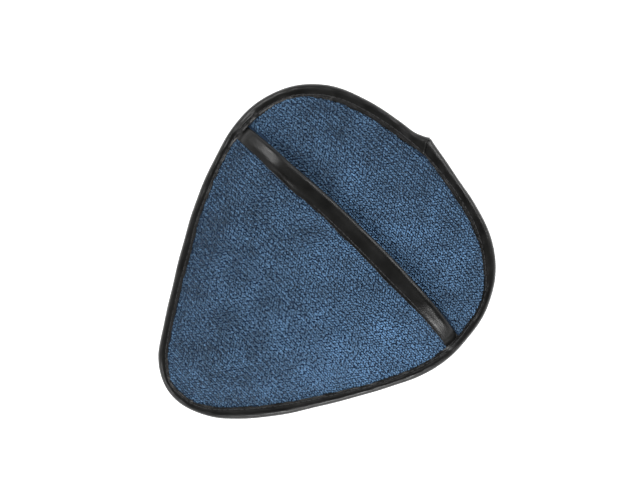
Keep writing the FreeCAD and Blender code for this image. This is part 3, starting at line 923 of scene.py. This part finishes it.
def rim_holes(top):
    """Needle holes of the rim seam on the tape's upper or lower flange, following its dip and lap."""
    sizes = bpy.context.scene.pad_sizes
    count = round(PERIMETER / sizes.stitch_pitch)
    run = np.arange(count + 1) * PERIMETER / count
    lifted = lap_lift(run)
    start = lap_start()
    point, out, _ = rim_at(start + run)
    place = point - seam_inset(start + run)[:, None] * out
    if top:
        height = RIM_HIGH + TAPE - 0.16 * MM + lifted + mouth_bump(start + run)
    else:
        height = RIM_LOW - TAPE + 0.16 * MM - lifted
    return np.concatenate([place, height[:, None]], axis=-1)


def mouth_holes(top):
    """Needle holes of the mouth seam, 1.5 mm in from the tape's edge, on its upper or lower flange."""
    sizes = bpy.context.scene.pad_sizes
    first, last = mouth_span()
    run = np.arange(first + 6 * MM, last - 6 * MM, sizes.stitch_pitch)
    below = mouth_reach(run + MOUTH_CENTRE[0]) + mouth_drop(run + MOUTH_CENTRE[0]) - 1.5 * MM
    x, y = mouth_place(run, below)
    upper, lower = mouth_levels(x, y)
    height = upper - 0.1 * MM if top else lower + 0.1 * MM
    return np.stack([x, y, height], axis=-1)


# ---------------------------------------------------------------- materials


def node_group(name, inputs, outputs):
    """An empty shader node group with the given sockets, and its input and output nodes."""
    group = bpy.data.node_groups.new(name, "ShaderNodeTree")
    for label, kind, default in inputs:
        socket = group.interface.new_socket(name=label, in_out="INPUT", socket_type=kind)
        if default is not None:
            socket.default_value = default
    for label in outputs:
        group.interface.new_socket(name=label, in_out="OUTPUT", socket_type="NodeSocketFloat")
    return group, group.nodes.new("NodeGroupInput"), group.nodes.new("NodeGroupOutput")


@functools.lru_cache(maxsize=None)
def mottle_group():
    """Soft patches: two octaves of noise at a scale, remapped to run from Low to High."""
    group, given, result = node_group("soft_mottle", [
        ("Vector", "NodeSocketVector", None), ("Scale", "NodeSocketFloat", 60.0),
        ("Low", "NodeSocketFloat", 0.8), ("High", "NodeSocketFloat", 1.2)], ["Factor"])
    noise = group.nodes.new("ShaderNodeTexNoise")
    noise.inputs["Detail"].default_value = 2.0
    spread = group.nodes.new("ShaderNodeMapRange")
    spread.inputs["From Min"].default_value = 0.3
    spread.inputs["From Max"].default_value = 0.7
    group.links.new(given.outputs["Vector"], noise.inputs["Vector"])
    group.links.new(given.outputs["Scale"], noise.inputs["Scale"])
    group.links.new(noise.outputs["Fac"], spread.inputs["Value"])
    group.links.new(given.outputs["Low"], spread.inputs["To Min"])
    group.links.new(given.outputs["High"], spread.inputs["To Max"])
    group.links.new(spread.outputs["Result"], result.inputs["Factor"])
    return group


@functools.lru_cache(maxsize=None)
def grain_group():
    """Fine pebbled grain: the distance to cell borders, softened by noise, as a height."""
    group, given, result = node_group("pebble_grain", [
        ("Vector", "NodeSocketVector", None), ("Scale", "NodeSocketFloat", 1400.0)], ["Height"])
    cells = group.nodes.new("ShaderNodeTexVoronoi")
    cells.feature = "SMOOTH_F1"
    noise = group.nodes.new("ShaderNodeTexNoise")
    noise.inputs["Detail"].default_value = 3.0
    add = group.nodes.new("ShaderNodeMath")
    add.operation = "MULTIPLY_ADD"
    add.inputs[1].default_value = 0.6
    group.links.new(given.outputs["Vector"], cells.inputs["Vector"])
    group.links.new(given.outputs["Scale"], cells.inputs["Scale"])
    group.links.new(given.outputs["Vector"], noise.inputs["Vector"])
    group.links.new(given.outputs["Scale"], noise.inputs["Scale"])
    group.links.new(noise.outputs["Fac"], add.inputs[0])
    group.links.new(cells.outputs["Distance"], add.inputs[2])
    group.links.new(add.outputs["Value"], result.inputs["Height"])
    return group


def new_material(name, roughness, sheen=0.0):
    """A node material, with its principled shader's constants set, and what is needed to add to it."""
    material = bpy.data.materials.new(name)
    material.use_nodes = True
    nodes, links = material.node_tree.nodes, material.node_tree.links
    shader = nodes["Principled BSDF"]
    shader.inputs["Roughness"].default_value = roughness
    shader.inputs["Sheen Weight"].default_value = sheen
    shader.inputs["Sheen Roughness"].default_value = 0.5
    return material, nodes, links, shader


def pattern(nodes, links, group, **values):
    """A shared pattern over a piece, in its object coordinates and with its inputs set, as a socket."""
    node = nodes.new("ShaderNodeGroup")
    node.node_tree = group
    for label, value in values.items():
        node.inputs[label].default_value = value
    place = nodes.new("ShaderNodeTexCoord")
    links.new(place.outputs["Object"], node.inputs["Vector"])
    return node.outputs[0]


def spread(nodes, links, value, low, high):
    """A value from 0 to 1 mapped to run from low to high, as a socket."""
    node = nodes.new("ShaderNodeMapRange")
    node.inputs["To Min"].default_value = low
    node.inputs["To Max"].default_value = high
    links.new(value, node.inputs["Value"])
    return node.outputs["Result"]


def bumped(nodes, links, shader, height, strength, distance):
    """Bumps a shader's normal by a height."""
    node = nodes.new("ShaderNodeBump")
    node.inputs["Strength"].default_value = strength
    node.inputs["Distance"].default_value = distance
    links.new(height, node.inputs["Height"])
    links.new(node.outputs["Normal"], shader.inputs["Normal"])


def shaded(nodes, links, colour, *factors):
    """A colour multiplied by each factor in turn, as a socket."""
    socket = None
    for factor in factors:
        scale = nodes.new("ShaderNodeVectorMath")
        scale.operation = "SCALE"
        if socket is None:
            scale.inputs[0].default_value = tuple(colour)
        else:
            links.new(socket, scale.inputs[0])
        links.new(factor, scale.inputs["Scale"])
        socket = scale.outputs["Vector"]
    return socket


@functools.lru_cache(maxsize=None)
def terry_material():
    """Microfibre yarn: slate blue, each loop a little lighter or darker, in soft patches, with painted shade.
    """
    colours = bpy.context.scene.pad_colours
    material, nodes, links, shader = new_material("terry_yarn", 0.9, sheen=0.1)
    patches = pattern(nodes, links, mottle_group(), Scale=45.0, Low=0.82, High=1.18)
    # Painted light and shade: the per-loop value darkens the low course and lightens or darkens patches of
    # pile.
    tone_and_shade = nodes.new("ShaderNodeAttribute")
    tone_and_shade.attribute_name = "tone_and_shade"
    each = spread(nodes, links, tone_and_shade.outputs["Fac"], 0.35, 1.35)
    links.new(shaded(nodes, links, colours.terry, patches, each), shader.inputs["Base Color"])
    return material


@functools.lru_cache(maxsize=None)
def ground_material():
    """Knitted ground under the loops: dark rows along X, fine grain, and a blue darkened as painted shade."""
    colours = bpy.context.scene.pad_colours
    sizes = bpy.context.scene.pad_sizes
    material, nodes, links, shader = new_material("knitted_ground", 0.95, sheen=0.15)
    patches = pattern(nodes, links, mottle_group(), Scale=700.0, Low=0.7, High=1.3)
    place = nodes.new("ShaderNodeTexCoord")
    rows = nodes.new("ShaderNodeTexWave")
    rows.bands_direction = "Y"
    rows.inputs["Scale"].default_value = 0.314 / sizes.rib_pitch * 2
    rows.inputs["Distortion"].default_value = 1.2
    rows.inputs["Detail Scale"].default_value = 2.0
    links.new(place.outputs["Object"], rows.inputs["Vector"])
    bumped(nodes, links, shader, rows.outputs["Fac"], 0.5, 0.25 * MM)
    # Painted shade: the ground's dark blue stands for the shade between the loops.
    links.new(shaded(nodes, links, colours.ground, patches), shader.inputs["Base Color"])
    return material


@functools.lru_cache(maxsize=None)
def tape_material():
    """Coated binding tape: near black, satin, pebbled, rubbed a little lighter in patches."""
    colours = bpy.context.scene.pad_colours
    material, nodes, links, shader = new_material("coated_tape", 0.36)
    shader.inputs["Specular IOR Level"].default_value = 0.42
    rubbed = pattern(nodes, links, mottle_group(), Scale=130.0, Low=0.75, High=1.5)
    worn = pattern(nodes, links, mottle_group(), Scale=90.0, Low=0.29, High=0.42)
    grain = pattern(nodes, links, grain_group(), Scale=1500.0)
    bumped(nodes, links, shader, grain, 0.35, 0.12 * MM)
    links.new(worn, shader.inputs["Roughness"])
    links.new(shaded(nodes, links, colours.tape, rubbed), shader.inputs["Base Color"])
    return material


@functools.lru_cache(maxsize=None)
def thread_material():
    """Twisted sewing thread: slanted plies across each stitch, in its own UV, with painted shade in the
    grooves.
    """
    colours = bpy.context.scene.pad_colours
    material, nodes, links, shader = new_material("twisted_thread", 0.6, sheen=0.1)
    place = nodes.new("ShaderNodeTexCoord")
    plies = nodes.new("ShaderNodeTexWave")
    plies.bands_direction = "DIAGONAL"
    plies.inputs["Scale"].default_value = 1.9
    links.new(place.outputs["UV"], plies.inputs["Vector"])
    bumped(nodes, links, shader, plies.outputs["Fac"], 0.6, 0.08 * MM)
    # Painted shade and highlight: the ply bands darken the grooves and lighten the crests of the colour.
    tint = spread(nodes, links, plies.outputs["Fac"], 0.6, 1.5)
    links.new(shaded(nodes, links, colours.thread, tint), shader.inputs["Base Color"])
    return material


@functools.lru_cache(maxsize=None)
def foam_material():
    """Open-cell foam: pale, pitted with small cells."""
    colours = bpy.context.scene.pad_colours
    material, nodes, links, shader = new_material("open_foam", 0.95)
    tint = pattern(nodes, links, mottle_group(), Scale=1100.0, Low=0.75, High=1.1)
    grain = pattern(nodes, links, grain_group(), Scale=900.0)
    bumped(nodes, links, shader, grain, 0.8, 0.3 * MM)
    links.new(shaded(nodes, links, colours.foam, tint), shader.inputs["Base Color"])
    return material


# ---------------------------------------------------------------- operators


class PAD_OT_foam(bpy.types.Operator):
    """Foam core, squashed where it is sewn in and swollen by the cloth simulation"""

    bl_idname = "pad.foam"
    bl_label = "Foam core"

    def execute(self, context):
        room = functools.partial(inset_less, CLOTH_MARGIN + 0.2 * MM)
        foam, _, _ = ply("foam_sheet", room, MIDDLE, lambda x, y: back_underside(x, y) - 0.02 * MM,
                         lambda x, y: foam_underside(x, y) + 0.02 * MM, foam_material())
        finished(foam, "foam", "foam_core")
        return {"FINISHED"}


class PAD_OT_face(bpy.types.Operator):
    """Polishing face: its knitted ground and the terry loops under it"""

    bl_idname = "pad.face"
    bl_label = "Polishing face"

    def execute(self, context):
        room = functools.partial(inset_less, CLOTH_MARGIN)
        cloth, size, area = ply("face_cloth", room, MIDDLE, foam_underside, face_ground, ground_material())
        finished(cloth, "microfibre", "polishing_face")
        loops = [terry("face_loops_tip", 60, face_room, (-HALF_LENGTH, MIDDLE[1]), face_ground, -1),
                 terry("face_loops_crown", 61, face_room, (MIDDLE[1], HALF_LENGTH), face_ground, -1)]
        return {"FINISHED"}


class PAD_OT_back(bpy.types.Operator):
    """Back panel: its knitted ground, and terry loops from the crown to just inside the pocket"""

    bl_idname = "pad.back"
    bl_label = "Back panel"

    def execute(self, context):
        room = functools.partial(inset_less, CLOTH_MARGIN)
        cloth, size, area = ply("back_cloth", room, MIDDLE, back_ground, back_underside, ground_material())
        finished(cloth, "microfibre", "back_panel")
        loops = terry("back_loops", 71, back_room, (-HALF_LENGTH, HALF_LENGTH), back_ground, 1)
        return {"FINISHED"}


class PAD_OT_pocket(bpy.types.Operator):
    """Pocket panel: its knitted ground and terry loops, arched over the fingers"""

    bl_idname = "pad.pocket"
    bl_label = "Pocket panel"

    def execute(self, context):
        cloth, size, area = ply("pocket_cloth", pocket_cloth_room, POCKET_MIDDLE, pocket_ground,
                                pocket_underside, ground_material())
        finished(cloth, "microfibre", "pocket_panel")
        loops = [terry("pocket_loops_tip", 81, pocket_room, (-HALF_LENGTH, POCKET_SPLIT), pocket_ground, 1),
                 terry("pocket_loops_mouth", 82, pocket_room, (POCKET_SPLIT, HALF_LENGTH), pocket_ground, 1)]
        return {"FINISHED"}


class PAD_OT_tapes(bpy.types.Operator):
    """Rim tape with its lap at the crown, and the tape over the pocket's mouth"""

    bl_idname = "pad.tapes"
    bl_label = "Binding tapes"

    def execute(self, context):
        rim = finished(rim_tape(tape_material()), "binding", "edge_binding")
        mouth = finished(mouth_tape(tape_material()), "binding", "pocket_binding")
        return {"FINISHED"}


class PAD_OT_threads(bpy.types.Operator):
    """Needle and bobbin threads of the rim seam and the mouth seam"""

    bl_idname = "pad.threads"
    bl_label = "Sewing threads"

    def execute(self, context):
        rows = [("rim_needle", rim_holes, True), ("rim_bobbin", rim_holes, False),
                ("mouth_needle", mouth_holes, True), ("mouth_bobbin", mouth_holes, False)]
        for name, holes, top in rows:
            thread = stitches(name + "_stitches", holes(top), 1 if top else -1, thread_material())
            finished(thread, "thread", name + "_thread")
        return {"FINISHED"}


class PAD_OT_stage(bpy.types.Operator):
    """Pale floor, soft studio lights and the camera above the pad"""

    bl_idname = "pad.stage"
    bl_label = "Stage"

    def execute(self, context):
        floor()
        lights(context.scene)
        camera(context.scene)
        return {"FINISHED"}


# ---------------------------------------------------------------- stage


def floor():
    """A wide pale floor just under the pad, with the faintest mottle."""
    colours = bpy.context.scene.pad_colours
    material, nodes, links, shader = new_material("studio_floor", 0.95)
    shader.inputs["Specular IOR Level"].default_value = 0.0
    shader.inputs["Emission Color"].default_value = (1.0, 1.0, 1.0, 1.0)
    shader.inputs["Emission Strength"].default_value = 0.7
    mottle = pattern(nodes, links, mottle_group(), Scale=6.0, Low=0.995, High=1.0)
    links.new(shaded(nodes, links, colours.floor, mottle), shader.inputs["Base Color"])
    mesh = bpy.data.meshes.new("studio_floor")
    reach = 3.0
    level = CAD_BOX[0][2] - 0.05 * MM
    mesh.from_pydata([(-reach, -reach, level), (reach, -reach, level), (reach, reach, level),
                      (-reach, reach, level)], [], [(0, 1, 2, 3)])
    mesh.materials.append(material)
    ground = bpy.data.objects.new("studio_floor", mesh)
    bpy.context.scene.collection.objects.link(ground)


def area_light(name, place, size, power):
    """A soft square light that faces the pad."""
    data = bpy.data.lights.new(name, "AREA")
    data.shape = "SQUARE"
    data.size = size
    data.energy = power
    light = bpy.data.objects.new(name, data)
    light.location = place
    aim = -np.array(place)
    flat = math.hypot(aim[0], aim[1])
    light.rotation_euler = (math.atan2(flat, -aim[2]), 0.0, math.atan2(aim[1], aim[0]) - math.pi / 2)
    bpy.context.scene.collection.objects.link(light)


def lights(scene):
    """Surroundings bright low down and dim overhead, and a ring of soft lights, strongest at the right."""
    world = bpy.data.worlds.new("studio")
    scene.world = world
    world.use_nodes = True
    nodes, links = world.node_tree.nodes, world.node_tree.links
    place = nodes.new("ShaderNodeTexCoord")
    parts = nodes.new("ShaderNodeSeparateXYZ")
    fade = nodes.new("ShaderNodeMapRange")
    fade.inputs["From Min"].default_value = 0.1
    fade.inputs["From Max"].default_value = 0.7
    fade.inputs["To Min"].default_value = 0.9
    fade.inputs["To Max"].default_value = 0.03
    links.new(place.outputs["Generated"], parts.inputs["Vector"])
    links.new(parts.outputs["Z"], fade.inputs["Value"])
    links.new(fade.outputs["Result"], nodes["Background"].inputs["Strength"])
    nodes["Background"].inputs["Color"].default_value = (1.0, 1.0, 1.0, 1.0)
    area_light("key", (0.95, -0.55, 0.75), 0.45, 10.0)
    area_light("tip", (-0.2, -1.0, 0.85), 0.45, 7.0)
    area_light("left", (-0.82, 0.15, 1.0), 0.45, 6.5)
    area_light("back", (0.1, 1.05, 0.85), 0.45, 6.5)


def camera(scene):
    """A long lens straight above the pad, turned so that the tip points down to the left."""
    data = bpy.data.cameras.new("camera")
    data.lens = 85.0
    data.sensor_width = 36.0
    eye = bpy.data.objects.new("camera", data)
    view_width = 333.7 * MM
    distance = view_width * data.lens / data.sensor_width
    eye.location = (-6.47 * MM, 16.91 * MM, RIM_HIGH + distance)
    eye.rotation_euler = (0.0, 0.0, math.radians(46.0))
    scene.collection.objects.link(eye)
    scene.camera = eye
    scene.view_settings.view_transform = "Standard"


# ---------------------------------------------------------------- add-on


BUILDERS = (PAD_OT_stage, PAD_OT_foam, PAD_OT_face, PAD_OT_back, PAD_OT_pocket, PAD_OT_tapes, PAD_OT_threads)


class PAD_PT_sidebar(bpy.types.Panel):
    """Sizes, colours and a button for each group of pieces"""

    bl_idname = "PAD_PT_sidebar"
    bl_label = "Polishing pad"
    bl_space_type = "VIEW_3D"
    bl_region_type = "UI"
    bl_category = "Polishing pad"

    def draw(self, context):
        layout = self.layout
        for settings in (context.scene.pad_sizes, context.scene.pad_colours):
            box = layout.box()
            for name in settings.__annotations__:
                box.prop(settings, name)
        for builder in BUILDERS:
            layout.operator(builder.bl_idname)


CLASSES = (PadSizes, PadColours, *BUILDERS, PAD_PT_sidebar)


def register():
    """Registers the classes and hangs the settings on the scene."""
    for item in CLASSES:
        bpy.utils.register_class(item)
    bpy.types.Scene.pad_sizes = bpy.props.PointerProperty(type=PadSizes)
    bpy.types.Scene.pad_colours = bpy.props.PointerProperty(type=PadColours)


def unregister():
    """Takes the settings off the scene and unregisters the classes."""
    del bpy.types.Scene.pad_colours
    del bpy.types.Scene.pad_sizes
    for item in reversed(CLASSES):
        bpy.utils.unregister_class(item)


def main():
    """Builds the stage and every piece in order."""
    register()
    bpy.ops.pad.stage()
    bpy.ops.pad.foam()
    bpy.ops.pad.face()
    bpy.ops.pad.back()
    bpy.ops.pad.pocket()
    bpy.ops.pad.tapes()
    bpy.ops.pad.threads()


if __name__ == "__main__":
    main()
